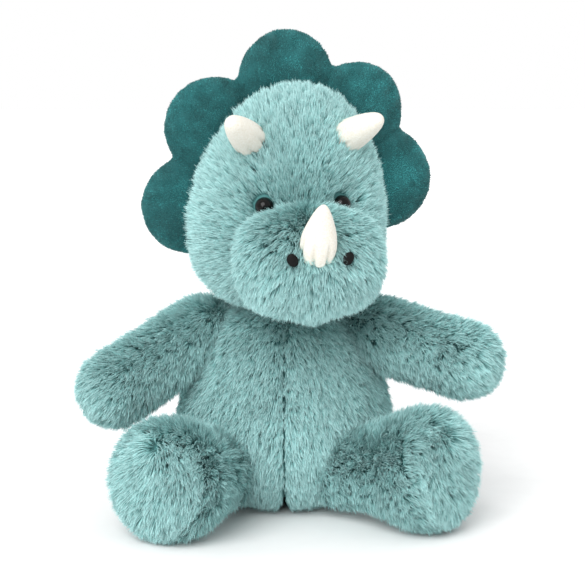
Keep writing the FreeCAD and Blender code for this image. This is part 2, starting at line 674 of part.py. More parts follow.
os.makedirs("parts", exist_ok=True)
make_torso()
save("neck_seam_thread", seam_ring(NECK, NECK_BALL_R, UP, NECK_RING))
make_head()
for limb_side in SIDES:
    make_arm(limb_side)
    make_leg(limb_side)
make_tail()
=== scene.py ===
# %% [markdown]
# # A seated plush horned dinosaur
#
# The toy is a set of bags of long teal fur fabric, stuffed with fibre: a body, a head with a muzzle, two
# arms, two legs and a tail. Behind the face stands a padded frill of short dark velboa, and three ivory
# horns are sewn on.
# The working model (sizes, joints, hidden pieces) is already made. This lesson adds the looks around it: the
# cloth of each bag is blown up by simulation, and the fur is grown as real little tufts, because fur made of
# geometry keeps its soft edge from every side and can be exported.

# %% Load the frame
import json
import math

import bpy
import numpy as np
from mathutils import Matrix, Vector, kdtree
from mathutils.bvhtree import BVHTree


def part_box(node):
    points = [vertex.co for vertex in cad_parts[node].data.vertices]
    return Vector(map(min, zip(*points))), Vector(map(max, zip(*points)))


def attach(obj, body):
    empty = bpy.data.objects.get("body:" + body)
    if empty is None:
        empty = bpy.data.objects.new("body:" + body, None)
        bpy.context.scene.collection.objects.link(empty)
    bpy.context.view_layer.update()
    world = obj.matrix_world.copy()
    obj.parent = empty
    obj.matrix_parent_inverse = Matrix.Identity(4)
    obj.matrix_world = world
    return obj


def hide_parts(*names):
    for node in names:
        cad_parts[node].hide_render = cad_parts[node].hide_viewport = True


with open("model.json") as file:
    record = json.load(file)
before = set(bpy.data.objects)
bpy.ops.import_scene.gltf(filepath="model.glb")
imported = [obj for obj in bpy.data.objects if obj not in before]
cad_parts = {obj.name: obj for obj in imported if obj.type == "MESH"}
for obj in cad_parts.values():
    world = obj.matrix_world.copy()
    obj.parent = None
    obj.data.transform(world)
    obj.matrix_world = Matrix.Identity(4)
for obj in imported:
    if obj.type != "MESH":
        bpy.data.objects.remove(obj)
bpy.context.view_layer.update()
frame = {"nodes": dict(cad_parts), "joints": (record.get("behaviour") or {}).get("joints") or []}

# %% [markdown]
# ## Helpers
#
# Blender's operators act on whatever is selected, so every step starts by selecting exactly one object.
# Sizes below are written in millimetres and multiplied by `MM`, because Blender works in metres.

# %% Helpers for picking, placing and finding things
MM = 0.001
UP = Vector((0.0, 0.0, 1.0))
SIDES = {"left": 1.0, "right": -1.0}


def pick(*objects):
    """Selects only these objects; the first one is active."""
    bpy.ops.object.select_all(action="DESELECT")
    for item in objects:
        item.select_set(True)
    bpy.context.view_layer.objects.active = objects[0]


def apply_modifiers(item):
    """Makes every modifier of an object permanent, in order."""
    pick(item)
    for modifier in list(item.modifiers):
        bpy.ops.object.modifier_apply(modifier=modifier.name)


def joint_place(name):
    """Where a joint turns, in the toy's frame."""
    return Vector(next(joint["pos_m"] for joint in frame["joints"] if joint["name"] == name))


def aimed(place, direction):
    """The transform that takes a piece made along +Z to a place and a direction."""
    return Matrix.Translation(place) @ direction.to_track_quat("Z", "Y").to_matrix().to_4x4()


def unit(rows):
    """Each row of an array, made one long."""
    return rows / np.maximum(np.linalg.norm(rows, axis=1, keepdims=True), 1e-9)


# %% [markdown]
# ## Camera, light and floor
#
# A long lens from the front, ten degrees above level, shows the toy as a catalogue picture would. The key
# is a sun with a very wide disc, which stands in for a large soft box: its shadows are soft everywhere. The
# world fills from all sides. The camera sees the world at full white, but the toy gets less of it, so that
# the shadows under the chin and between the limbs keep some depth.

# %% Camera
CAMERA_DISTANCE = 1.40
CAMERA_HEIGHT_ANGLE = math.radians(10.0)
CAMERA_TARGET = Vector((0.0054, 0.0, 0.1408))
LENS = 128.6

bpy.ops.object.camera_add()
camera = bpy.context.object
camera.name = "camera"
camera.data.lens = LENS
camera.data.sensor_width = 36.0
back = Vector((0.0, -math.cos(CAMERA_HEIGHT_ANGLE), math.sin(CAMERA_HEIGHT_ANGLE)))
camera.location = CAMERA_TARGET + CAMERA_DISTANCE * back
camera.rotation_euler = (-back).to_track_quat("-Z", "Y").to_euler()
bpy.context.scene.camera = camera
print("camera at", [round(c, 3) for c in camera.location])


# %% Light and floor
KEY_FROM = Vector((-0.50, -1.15, 0.95))
WORLD_ON_TOY = 0.90

bpy.ops.object.light_add(type="SUN", location=KEY_FROM)
key = bpy.context.object
key.name = "key_light"
key.data.energy = 2.3
key.data.angle = math.radians(45.0)
key.rotation_euler = (-KEY_FROM).to_track_quat("-Z", "Y").to_euler()

world = bpy.data.worlds.new("studio")
world.use_nodes = True
world_nodes = world.node_tree.nodes
world_links = world.node_tree.links
seen = world_nodes.new("ShaderNodeLightPath")
strength = world_nodes.new("ShaderNodeMapRange")
strength.inputs["To Min"].default_value = WORLD_ON_TOY
strength.inputs["To Max"].default_value = 1.0
world_links.new(seen.outputs["Is Camera Ray"], strength.inputs["Value"])
world_links.new(strength.outputs["Result"], world_nodes["Background"].inputs["Strength"])
world_nodes["Background"].inputs["Color"].default_value = (1.0, 1.0, 1.0, 1.0)
bpy.context.scene.world = world
bpy.context.scene.view_settings.view_transform = "Standard"

bpy.ops.mesh.primitive_plane_add(size=6.0, location=(0.0, 0.0, 0.0))
floor = bpy.context.object
floor.name = "studio_floor"
print("light and floor are in place")

# %% [markdown]
# ## Materials
#
# Every finish is built from nodes. The fur reads two values that each tuft carries: `tip`, which runs from 0
# at the root to 1 at the tip, and `shade`, which differs from tuft to tuft; on the frill it also holds
# painted shade near the seams and painted light in the middle of each lobe. The dark roots are painted shade
# deep in the pile, and the light tips are partly a painted highlight, partly the fur's own frosted tips.
# Velboa is a short pile; its lighter and darker brushed patches are painted sheen.


# %% Helpers for node materials
def new_material(name):
    """An empty node material with its shader, ready for links."""
    material = bpy.data.materials.new(name)
    material.use_nodes = True
    tree = material.node_tree
    return material, tree, tree.nodes["Principled BSDF"]


def node(tree, kind, **values):
    """One node, with its settings and its input values by name."""
    made = tree.nodes.new(kind)
    for key, value in values.items():
        if key in made.inputs:
            made.inputs[key].default_value = value
        else:
            setattr(made, key, value)
    return made


def ramp(tree, source, stops):
    """A colour ramp fed by a value: stops are (position, colour)."""
    made = tree.nodes.new("ShaderNodeValToRGB")
    while len(made.color_ramp.elements) < len(stops):
        made.color_ramp.elements.new(0.5)
    for element, (position, colour) in zip(made.color_ramp.elements, stops):
        element.position = position
        element.color = (*colour, 1.0)
    tree.links.new(source, made.inputs["Fac"])
    return made.outputs["Color"]


def noise(tree, scale, detail=3.0, stretch=None):
    """Noise on the piece's own Object coordinates, scale in cycles per metre."""
    coordinates = tree.nodes.new("ShaderNodeTexCoord")
    pattern = node(tree, "ShaderNodeTexNoise", Scale=scale, Detail=detail)
    source = coordinates.outputs["Object"]
    if stretch:
        mapping = node(tree, "ShaderNodeMapping", Scale=stretch)
        tree.links.new(source, mapping.inputs["Vector"])
        source = mapping.outputs["Vector"]
    tree.links.new(source, pattern.inputs["Vector"])
    return pattern.outputs["Fac"]


def remapped(tree, source, low, high, to_low, to_high):
    """A value moved from one range to another."""
    made = node(tree, "ShaderNodeMapRange")
    for slot_name, value in (("From Min", low), ("From Max", high), ("To Min", to_low), ("To Max", to_high)):
        made.inputs[slot_name].default_value = value
    tree.links.new(source, made.inputs["Value"])
    return made.outputs["Result"]


def scaled_colour(tree, colour, factor):
    """A colour made lighter or darker by a value."""
    made = tree.nodes.new("ShaderNodeVectorMath")
    made.operation = "SCALE"
    tree.links.new(colour, made.inputs[0])
    tree.links.new(factor, made.inputs["Scale"])
    return made.outputs["Vector"]


def bumped(tree, shader, height, distance, strength=0.6):
    """Small relief on the shader's normal, distance in metres."""
    made = node(tree, "ShaderNodeBump", Strength=strength, Distance=distance)
    tree.links.new(height, made.inputs["Height"])
    tree.links.new(made.outputs["Normal"], shader.inputs["Normal"])


def attribute(tree, name):
    """A value that the mesh carries."""
    return node(tree, "ShaderNodeAttribute", attribute_name=name).outputs["Fac"]


# %% Pile materials
def pile_material(name, stops, shade_swing, patch_scale, patch_swing, sheen, sheen_tint):
    """Pile with a colour from root to tip that paints shade at the roots and light at the tips, uneven tufts
    and soft patches of tone, which on the velboa are painted sheen.
    """
    material, tree, shader = new_material(name)
    colour = ramp(tree, attribute(tree, "tip"), stops)
    shade = remapped(tree, attribute(tree, "shade"), 0.0, 1.0, 1.0 - shade_swing, 1.0 + shade_swing)
    patch = remapped(tree, noise(tree, patch_scale), 0.3, 0.7, 1.0 - patch_swing, 1.0 + patch_swing)
    colour = scaled_colour(tree, scaled_colour(tree, colour, shade), patch)
    tree.links.new(colour, shader.inputs["Base Color"])
    shader.inputs["Roughness"].default_value = 0.75
    shader.inputs["Specular IOR Level"].default_value = 0.25
    shader.inputs["Sheen Weight"].default_value = sheen
    shader.inputs["Sheen Roughness"].default_value = 0.5
    shader.inputs["Sheen Tint"].default_value = (*sheen_tint, 1.0)
    return material


# Dark root colours are painted shade deep in the pile; light tip colours are partly a painted highlight,
# partly the pile's own frosted tips.
FUR_STOPS_ROOT_SHADE_TIP_LIGHT = [(0.0, (0.070, 0.215, 0.212)), (0.5, (0.22, 0.475, 0.468)), (1.0, (0.56, 0.83, 0.825))]
VELBOA_STOPS_ROOT_SHADE_TIP_LIGHT = [(0.0, (0.009, 0.090, 0.094)), (1.0, (0.052, 0.285, 0.290))]
teal_fur = pile_material("teal_fur", FUR_STOPS_ROOT_SHADE_TIP_LIGHT, 0.16, 28.0, 0.07, 0.15, (0.8, 1.0, 1.0))
# The velboa's strong patch swing is painted sheen of its brushed nap.
frill_velboa = pile_material("frill_velboa", VELBOA_STOPS_ROOT_SHADE_TIP_LIGHT, 0.62, 40.0, 0.38, 0.45, (0.45, 0.95, 0.95))
print("pile materials:", teal_fur.name, frill_velboa.name)


# %% Cloth, thread and plastic materials
def plain_material(name, dark, light, scale, roughness, bump, stretch=None, sheen=0.0, specular=0.5):
    """A finish with fine colour variation and relief from one noise."""
    material, tree, shader = new_material(name)
    grain = noise(tree, scale, detail=4.0, stretch=stretch)
    tree.links.new(ramp(tree, grain, [(0.3, dark), (0.7, light)]), shader.inputs["Base Color"])
    shader.inputs["Roughness"].default_value = roughness
    shader.inputs["Specular IOR Level"].default_value = specular
    shader.inputs["Sheen Weight"].default_value = sheen
    bumped(tree, shader, grain, bump)
    return material


ivory_velboa = plain_material(
    "ivory_velboa", (0.74, 0.69, 0.59), (0.84, 0.82, 0.76), 900.0, 0.9, 0.0003, sheen=0.1)
seam_thread = plain_material("seam_thread", (0.02, 0.09, 0.09), (0.08, 0.25, 0.25), 2500.0, 0.7, 0.0002)
pouch_cloth = plain_material("pouch_cloth", (0.60, 0.60, 0.56), (0.75, 0.75, 0.72), 1500.0, 0.9, 0.0002)
pellets = plain_material("pellets", (0.55, 0.55, 0.52), (0.72, 0.72, 0.70), 350.0, 0.45, 0.0015)
washer_plastic = plain_material("washer_plastic", (0.80, 0.80, 0.78), (0.88, 0.88, 0.86), 300.0, 0.4, 0.0001)
nostril_thread = plain_material(
    "nostril_thread", (0.003, 0.003, 0.003), (0.010, 0.010, 0.010), 3000.0, 0.5, 0.0002, specular=0.12)
label_satin = plain_material(
    "label_satin", (0.78, 0.78, 0.76), (0.90, 0.90, 0.88), 800.0, 0.35, 0.0001, stretch=(0.1, 0.1, 3.0))
eye_plastic, eye_tree, eye_shader = new_material("eye_plastic")
EYE_STOPS = [(0.3, (0.001, 0.001, 0.001)), (0.7, (0.003, 0.003, 0.003))]
eye_depth = ramp(eye_tree, noise(eye_tree, 400.0), EYE_STOPS)
eye_tree.links.new(eye_depth, eye_shader.inputs["Base Color"])
eye_shader.inputs["Roughness"].default_value = 0.10
eye_shader.inputs["Specular IOR Level"].default_value = 0.22
floor_paper = plain_material("floor_paper", (0.93, 0.93, 0.93), (0.95, 0.95, 0.95), 60.0, 0.9, 0.0001)
floor.data.materials.append(floor_paper)
print("cloth, thread and plastic materials are made")

# %% [markdown]
# ## The stuffed bags
#
# A real bag is cut from flat panels, turned right side out and stuffed until it is round. Here each bag
# starts as a ring that is extruded and resized ring by ring, like turning it on a lathe by hand. Several
# bags can be melted into one skin by a voxel remesh. Then Cloth with pressure blows the skin up a little,
# which gives it the tight, slightly uneven roundness of stuffing, and one subdivision makes it smooth.

# %% Ringed bags
RING_POINTS = 36
VOXEL = 4.0 * MM


def ringed_bag(rings, place):
    """Extrudes a disc through rings of (radius, height) in millimetres and takes it to its place."""
    radius, height = rings[0]
    bpy.ops.mesh.primitive_circle_add(
        vertices=RING_POINTS, radius=radius * MM, location=(0.0, 0.0, height * MM), fill_type="TRIFAN")
    bag = bpy.context.object
    bpy.ops.object.transform_apply(location=True, rotation=False, scale=False)
    bpy.ops.object.mode_set(mode="EDIT")
    bpy.ops.mesh.select_all(action="SELECT")
    for next_radius, next_height in rings[1:]:
        rise = (0.0, 0.0, (next_height - height) * MM)
        bpy.ops.mesh.extrude_region_move(TRANSFORM_OT_translate={"value": rise})
        grow = next_radius / radius
        bpy.ops.transform.resize(value=(grow, grow, 1.0), center_override=(0.0, 0.0, next_height * MM))
        radius, height = next_radius, next_height
    bpy.ops.mesh.select_all(action="SELECT")
    bpy.ops.mesh.normals_make_consistent(inside=False)
    bpy.ops.object.mode_set(mode="OBJECT")
    bag.data.transform(place)
    return bag


def melted(name, bags, voxel=VOXEL, rounds=6):
    """Joins bags and melts them into one smooth closed skin."""
    pick(*bags)
    if len(bags) > 1:
        bpy.ops.object.join()
    skin = bags[0]
    skin.name = name
    skin.data.name = name
    melt = skin.modifiers.new("melt", "REMESH")
    melt.mode = "VOXEL"
    melt.voxel_size = voxel
    soften = skin.modifiers.new("soften", "SMOOTH")
    soften.factor = 0.5
    soften.iterations = rounds
    apply_modifiers(skin)
    return skin


# %% Stuffing by cloth simulation
LAST_FRAME = 20


def points_of(item):
    """An object's points as an array of rows."""
    rows = np.empty(len(item.data.vertices) * 3)
    item.data.vertices.foreach_get("co", rows)
    return rows.reshape(-1, 3)


def set_points(item, rows):
    """Moves an object's points."""
    item.data.vertices.foreach_set("co", rows.ravel())
    item.data.update()


def stuffed(skin, cap, pressure=4.0, held=None):
    """Blows a skin up as its stuffing does; no point moves further than the cap, in millimetres."""
    before = points_of(skin)
    cloth = skin.modifiers.new("stuffing", "CLOTH")
    cloth.settings.quality = 6
    cloth.settings.mass = 0.3
    cloth.settings.use_pressure = True
    cloth.settings.uniform_pressure_force = pressure
    cloth.settings.effector_weights.gravity = 0.0
    if held:
        cloth.settings.vertex_group_mass = held
    cloth.point_cache.frame_start = 1
    cloth.point_cache.frame_end = LAST_FRAME
    for frame_number in range(1, LAST_FRAME + 1):
        bpy.context.scene.frame_set(frame_number)
    apply_modifiers(skin)
    move = points_of(skin) - before
    reach = np.linalg.norm(move, axis=1, keepdims=True)
    move *= np.minimum(1.0, cap * MM / np.maximum(reach, 1e-9))
    set_points(skin, before + move)
    print(f"{skin.name}: swelled by up to {min(cap, reach.max() / MM):.1f} mm")
    finer = skin.modifiers.new("finer", "SUBSURF")
    finer.levels = 1
    finer.render_levels = 1
    apply_modifiers(skin)


def pinched(skin, origin, normal, depth, width):
    """Pulls a skin in along the plane of a seam, both in millimetres."""
    rows = points_of(skin)
    normals = np.empty(len(rows) * 3)
    skin.data.vertices.foreach_get("normal", normals)
    away = (rows - np.array(origin)) @ np.array(Vector(normal).normalized())
    pull = depth * MM * np.exp(-(away / (width * MM)) ** 2)
    set_points(skin, rows - normals.reshape(-1, 3) * pull[:, None])


def above_floor(skin, clearance):
    """Flattens a skin where it would go below a height over the floor, in millimetres."""
    rows = points_of(skin)
    rows[:, 2] = np.maximum(rows[:, 2], clearance * MM)
    set_points(skin, rows)


# %% [markdown]
# ## Growing the fur
#
# Blender's hair can't be exported, so each tuft is a real kite of two triangles: one point at the root, two
# points in the middle and one at the tip, folded across the middle so that the tuft bends. Roots are spread
# evenly over the skin. A comb function says which way the pile lies at each place, and neighbours lean
# a little towards the tip of a shared lock, because real pile gathers in locks. Arrays keep this quick for
# hundreds of thousands of tufts. The skins are all made first, so that tufts buried deep inside a neighbour
# can be left out.

# %% Tufts
FLOOR_CLEARANCE = 0.3 * MM
HIDDEN_DEPTH = 7.0 * MM
ROOT_DEPTH = 0.4 * MM
LENGTH_SPREAD = 0.14
LEAN_SPREAD = 0.12
SIZE_LIMITS = (0.6, 1.35)
SHORTEST_KEPT = 0.25
MIDDLE_TIP = 0.55
MIDDLE_LEAN = 0.55
MIDDLE_TURN = 0.7
MIDDLE_PULL = 0.35
FACING_SPREAD = 0.55
LOCK_WILD = 1.1
TUFT_WILD = 0.8
WIDTH_POWER = 0.3
LOCK_SHARE = 0.8
LOCK_TONE = 0.13
TUFT_TONE = 0.2


def spread_roots(skin, count, random):
    """Evenly spread places on a skin, with the skin's normal at each."""
    mesh = skin.data
    mesh.calc_loop_triangles()
    corners = np.empty(len(mesh.loop_triangles) * 3, dtype=np.int32)
    mesh.loop_triangles.foreach_get("vertices", corners)
    corners = corners.reshape(-1, 3)
    rows = points_of(skin)
    normals = np.empty(len(rows) * 3)
    mesh.vertices.foreach_get("normal", normals)
    normals = normals.reshape(-1, 3)
    a, b, c = (rows[corners[:, k]] for k in range(3))
    share = np.cumsum(np.linalg.norm(np.cross(b - a, c - a), axis=1))
    hit = np.searchsorted(share, (np.arange(count) + random.random(count)) / count * share[-1])
    first = np.sqrt(random.random((count, 1)))
    second = random.random((count, 1))
    weights = np.hstack([1.0 - first, first * (1.0 - second), first * second])
    place = np.einsum("nk,nkd->nd", weights, rows[corners[hit]])
    normal = unit(np.einsum("nk,nkd->nd", weights, normals[corners[hit]]))
    return place, normal


def skin_area(skin):
    """Area of a skin in square millimetres."""
    return sum(face.area for face in skin.data.polygons) / MM ** 2


def lock_of(place, centres):
    """For each root, the number of the nearest lock centre."""
    tree = kdtree.KDTree(len(centres))
    for number, centre in enumerate(centres):
        tree.insert(centre, number)
    tree.balance()
    return np.fromiter((tree.find(row)[1] for row in place), dtype=np.int64, count=len(place))


def kites(place, normal, first, second, width, random):
    """Points of every tuft: root, two in the middle, tip."""
    facing = normal + FACING_SPREAD * random.standard_normal(place.shape)
    side = unit(np.cross(first, facing)) * (0.5 * width)[:, None]
    middle = place + first
    tip = middle + second
    rows = np.stack([place, middle - side, middle + side, tip], axis=1)
    rows[:, :, 2] = np.maximum(rows[:, :, 2], FLOOR_CLEARANCE)
    return rows.reshape(-1, 3)


def tuft_mesh(name, rows, shade):
    """A mesh of kites that carries tip and shade."""
    count = len(rows) // 4
    start = 4 * np.arange(count)[:, None]
    corners = (start + np.array([[0, 2, 1, 1, 2, 3]])).ravel().astype(np.int32)
    mesh = bpy.data.meshes.new(name)
    mesh.vertices.add(len(rows))
    mesh.vertices.foreach_set("co", rows.ravel())
    mesh.loops.add(len(corners))
    mesh.loops.foreach_set("vertex_index", corners)
    mesh.polygons.add(2 * count)
    mesh.polygons.foreach_set("loop_start", np.arange(0, len(corners), 3, dtype=np.int32))
    mesh.update(calc_edges=True)
    tip = mesh.attributes.new("tip", "FLOAT", "POINT")
    tip.data.foreach_set("value", np.tile([0.0, MIDDLE_TIP, MIDDLE_TIP, 1.0], count))
    shades = mesh.attributes.new("shade", "FLOAT", "POINT")
    shades.data.foreach_set("value", np.repeat(shade, 4))
    return mesh


def buried(place, trees):
    """True where a place lies deep inside another skin, where no tuft can be seen."""
    deep = np.zeros(len(place), dtype=bool)
    for tree in trees:
        for number, spot in enumerate(place):
            near, outward, _, gap = tree.find_nearest(Vector(spot))
            if gap > HIDDEN_DEPTH and (Vector(spot) - near).dot(outward) < 0.0:
                deep[number] = True
    return deep


def grow_pile(skin, trees, comb, length, width, per_mm2, lean, lock_mm2, gather, seed,
              trim=None, wild=0.16, tone=None):
    """Grows tufts on a skin and joins them to it: lengths in millimetres, lean in degrees at the tip."""
    random = np.random.default_rng(seed)
    area = skin_area(skin)
    place, normal = spread_roots(skin, int(area * per_mm2), random)
    centres, centre_normal = spread_roots(skin, int(area / lock_mm2), random)
    lock = lock_of(place, centres)
    size = length * MM * random.normal(1.0, LENGTH_SPREAD, len(place)).clip(*SIZE_LIMITS)
    if trim:
        size = size * trim(place)
    kept = (size > SHORTEST_KEPT * length * MM) & ~buried(centres, trees)[lock]
    place, normal, size, lock = place[kept], normal[kept], size[kept], lock[kept]
    lock_wild = random.standard_normal(centres.shape)
    lay = comb(place)
    lay = unit(lay - normal * np.sum(lay * normal, axis=1, keepdims=True))
    turn = wild * (LOCK_WILD * lock_wild[lock] + TUFT_WILD * random.standard_normal(place.shape))
    angle = np.radians(lean) * random.normal(1.0, LEAN_SPREAD, len(place))[:, None]
    half_way = MIDDLE_LEAN * angle
    first = unit(normal * np.cos(half_way) + lay * np.sin(half_way) + MIDDLE_TURN * turn)
    first = first * (0.5 * size)[:, None]
    second = unit(normal * np.cos(angle) + lay * np.sin(angle) + turn) * (0.5 * size)[:, None]
    lock_lay = comb(centres)
    lock_lay = unit(lock_lay - centre_normal * np.sum(lock_lay * centre_normal, axis=1, keepdims=True))
    reach = LOCK_SHARE * length * MM
    lean_all = np.radians(LOCK_SHARE * lean)
    goal = centres + reach * (centre_normal * math.cos(lean_all) + lock_lay * math.sin(lean_all))
    pull = goal[lock] - (place + first + second)
    second = second + gather * pull
    first = first + MIDDLE_PULL * gather * pull
    lock_tone = LOCK_TONE * random.standard_normal(len(centres))[lock]
    shade = 0.5 + lock_tone + TUFT_TONE * random.standard_normal(len(place))
    # A piece may add painted shade and painted light to each tuft's shade value.
    if tone:
        shade = shade + tone(place)
    shade = shade.clip(0.0, 1.0)
    widths = width * MM * (size / (length * MM)) ** WIDTH_POWER
    rows = kites(place - ROOT_DEPTH * normal, normal, first, second, widths, random)
    for name, value in (("tip", 0.0), ("shade", 0.5)):
        field = skin.data.attributes.new(name, "FLOAT", "POINT")
        field.data.foreach_set("value", np.full(len(skin.data.vertices), value))
    pile = bpy.data.objects.new(skin.name + "_pile", tuft_mesh(skin.name + "_pile", rows, shade))
    bpy.context.collection.objects.link(pile)
    pick(skin, pile)
    bpy.ops.object.join()
    print(f"{skin.name}: {area / 100.0:.0f} cm2, {len(place)} tufts, {len(skin.data.polygons)} faces")


def away_from(centre, drift=(0.0, 0.0, 0.0)):
    """Comb: the pile lies away from a point, with a steady drift."""
    return lambda place: unit(place - np.array(centre)) + np.array(drift)


def along(direction):
    """Comb: the pile lies one way."""
    return lambda place: np.tile(np.array(direction), (len(place), 1))


coats = []


def coat_later(skin, body, nodes, fill, material=None, slot="teal_fur", **pile):
    """Remembers how a skin is to be furred, once all the skins are there."""
    coats.append((skin, body, nodes, fill, material or teal_fur, slot, pile))


def finished(item, material, body, nodes):
    """Gives a piece its material, hangs it on the body that it rides on and hides the CAD nodes that it
    stands in for.
    """
    item.data.materials.clear()
    item.data.materials.append(material)
    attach(item, body)
    if nodes:
        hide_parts(*nodes)
    return item


# %% [markdown]
# ## Body
#
# The body is a pear: a flat seat, a round belly and a chest that narrows to the neck. A seam runs down the
# middle of the front. The pile is combed down and lies rather flat. It parts along the seam and is shorter
# there, so that the seam shows as a thin dark line.

# %% Body
BODY_RINGS = [(20, 5), (40, 7), (54, 15), (63, 28), (67.5, 42), (67.5, 58), (63.5, 76), (57.5, 94),
              (51, 110), (43, 122), (32, 131), (14, 136)]
SEAM_GAP = 0.7
SEAM_TRIM = 0.45
SEAM_TRIM_WIDTH = 2.4
PARTING = 0.45
PARTING_WIDTH = 12.0
FORWARD = -0.12


def seam_trim(place):
    """No pile on the middle seam of the front, and shorter pile next to it."""
    off = np.abs(place[:, 0]) / MM
    near = np.where(off < SEAM_GAP, 1.0, SEAM_TRIM * np.exp(-(off / SEAM_TRIM_WIDTH) ** 2))
    return 1.0 - near * (place[:, 1] < 0.0)


def body_comb(place):
    """Comb: down and a little forward, and away from the middle seam."""
    outward = np.sign(place[:, 0]) * np.exp(-np.abs(place[:, 0]) / (PARTING_WIDTH * MM))
    return np.stack([PARTING * outward, np.full(len(place), FORWARD), np.full(len(place), -1.0)], axis=1)


body_skin = melted("body_skin", [ringed_bag(BODY_RINGS, Matrix.Identity(4))])
stuffed(body_skin, cap=4.0)
above_floor(body_skin, 3.0)
pinched(body_skin, (0.0, 0.0, 0.0), (1.0, 0.0, 0.0), depth=2.6, width=3.0)
BODY_NODES = ["chest_panel_left", "chest_panel_right", "back_panel_left", "back_panel_right", "seat_panel",
              "torso_stuffing"]
coat_later(body_skin, "torso", BODY_NODES, 0.9, comb=body_comb, length=9.5, width=0.62, per_mm2=3.8,
           lean=62.0, lock_mm2=7.0, gather=0.16, seed=11, trim=seam_trim)

# %% [markdown]
# ## Head
#
# The head is an egg, widest at the cheeks, whose crown leans a little to one side as hand-stuffed heads do.
# It is turned a little to the toy's left. The pile is brushed away from a point hidden behind the muzzle: up
# over the forehead, outwards over the cheeks. It is clipped away round the eyes.

# %% Head
HEAD_TURN = math.radians(11.5)
HEAD_FORWARD = 5.0
head_place = Matrix.Rotation(HEAD_TURN, 4, "Z") @ Matrix.Translation((0.0, -HEAD_FORWARD * MM, 0.0))
HEAD_RINGS = [(22, 139), (42, 146), (54, 160), (59, 177), (60, 192), (57.5, 210), (52.5, 228), (45, 244),
              (36, 257), (24, 268), (10, 274.5)]
CROWN_LEAN = 7.0
LEAN_START = 200.0
LEAN_STOP = 275.0
EYE_CLEAR = 6.6
eye_middle = {side: sum(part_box(f"eye_{side}"), Vector()) / 2.0 for side in SIDES}
crown_of_pile = head_place @ (Vector((0.0, -52.0, 176.0)) * MM)


def clear_of(spots, shortest=0.45, soft=9.0):
    """Trim: no pile within a distance of a spot, short pile just outside it."""
    def trim(place):
        keep = np.ones(len(place))
        for spot, radius in spots:
            gap = np.linalg.norm(place - np.array(spot), axis=1) / MM - radius
            keep *= np.where(gap < 0.0, 0.0, np.clip(shortest + (1.0 - shortest) * gap / soft, 0.0, 1.0))
        return keep
    return trim


def leaning(skin, start, stop, by):
    """Leans a skin's top sideways, more and more between two heights, all in millimetres."""
    rows = points_of(skin)
    rise = np.clip((rows[:, 2] / MM - start) / (stop - start), 0.0, 1.0)
    rows[:, 0] += by * MM * rise ** 1.3
    set_points(skin, rows)


head_skin = melted("head_skin", [ringed_bag(HEAD_RINGS, head_place)])
leaning(head_skin, LEAN_START, LEAN_STOP, CROWN_LEAN)
stuffed(head_skin, cap=4.0)
HEAD_NODES = ["face_panel_left", "face_panel_right", "head_back_panel", "head_stuffing"]
coat_later(head_skin, "head", HEAD_NODES, 0.9, comb=away_from(crown_of_pile, drift=(0.0, 0.0, -0.05)),
           length=10.5, width=0.61, per_mm2=4.1, lean=50.0, lock_mm2=10.0, gather=0.18, seed=12,
           trim=clear_of([(spot, EYE_CLEAR) for spot in eye_middle.values()]))

# %% [markdown]
# ## Muzzle
#
# The muzzle is a plump barrel across the face with a rise for the nose and a round chin. It is pressed down
# near the eyes. Its pile is the longest on the head and falls away from the place where the nose horn
# stands, so that its edge hides the seam to the face. The two nostrils are small ovals of black satin
# stitches.

# %% Muzzle
MUZZLE_AHEAD = 74.0
MUZZLE_HEIGHT = 175.0
MUZZLE_RINGS = [(9, -40.5), (19, -37), (26, -28), (29.5, -14), (30.5, 0), (29.5, 14), (26, 28), (19, 37),
                (9, 40.5)]
SOCKET_DEPTH = 15.0
SOCKET_WIDTH = 15.0
PAD_RINGS = [(6, -22), (16, -17), (22, -8), (24, 0), (22, 8), (16, 17), (6, 22)]


def on_face(x, y, z, direction=UP):
    """A place and a direction given on the face looking straight ahead, in millimetres."""
    return aimed(head_place @ (Vector((x, y, z)) * MM), head_place.to_3x3() @ direction)


def lowered_under_eyes(skin):
    """Presses the muzzle down near both eyes, so that they stay free."""
    rows = points_of(skin)
    push = np.array(head_place.to_3x3() @ Vector((0.0, 0.2, -1.0)).normalized())
    for spot in eye_middle.values():
        gap = np.linalg.norm(rows - np.array(spot), axis=1) / MM
        rows += (SOCKET_DEPTH * MM * np.exp(-(gap / SOCKET_WIDTH) ** 2))[:, None] * push
    set_points(skin, rows)


ACROSS = Vector((1.0, 0.0, 0.0))
barrel = ringed_bag(MUZZLE_RINGS, on_face(0.0, -MUZZLE_AHEAD, MUZZLE_HEIGHT, ACROSS))
nose_rise = ringed_bag(PAD_RINGS, on_face(0.0, -MUZZLE_AHEAD + 2.0, MUZZLE_HEIGHT + 8.0, ACROSS))
chin = ringed_bag(PAD_RINGS, on_face(0.0, -MUZZLE_AHEAD - 3.0, MUZZLE_HEIGHT - 9.0, ACROSS))
muzzle_skin = melted("muzzle_skin", [barrel, nose_rise, chin], rounds=4)
stuffed(muzzle_skin, cap=4.0)
lowered_under_eyes(muzzle_skin)
nostril_middle = {side: sum(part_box(f"nostril_{side}"), Vector()) / 2.0 for side in SIDES}
under_nose = head_place @ (Vector((0.0, -70.0, 188.0)) * MM)
NOSTRIL_CLEAR = {"left": 3.2, "right": 4.8}
muzzle_trim = clear_of([(spot, NOSTRIL_CLEAR[side]) for side, spot in nostril_middle.items()]
                       + [(spot, EYE_CLEAR + 2.0) for spot in eye_middle.values()], soft=6.0)
coat_later(muzzle_skin, "head", ["muzzle_panel_left", "muzzle_panel_right", "muzzle_stuffing"], 0.95,
           comb=away_from(under_nose, drift=(0.0, 0.0, -0.45)), length=11.0, width=0.60, per_mm2=4.4,
           lean=50.0, lock_mm2=10.0, gather=0.2, seed=13, trim=muzzle_trim)

# %% Nostrils
NOSTRIL_HALF = Vector((3.4, 4.4, 1.7))
STITCH_ROWS = 11
GROOVE_DEPTH = 0.05
NOSTRIL_PROUD = 1.6
NOSTRIL_SLANT = -28.0
face_ahead = head_place.to_3x3() @ Vector((0.0, -1.0, 0.0))


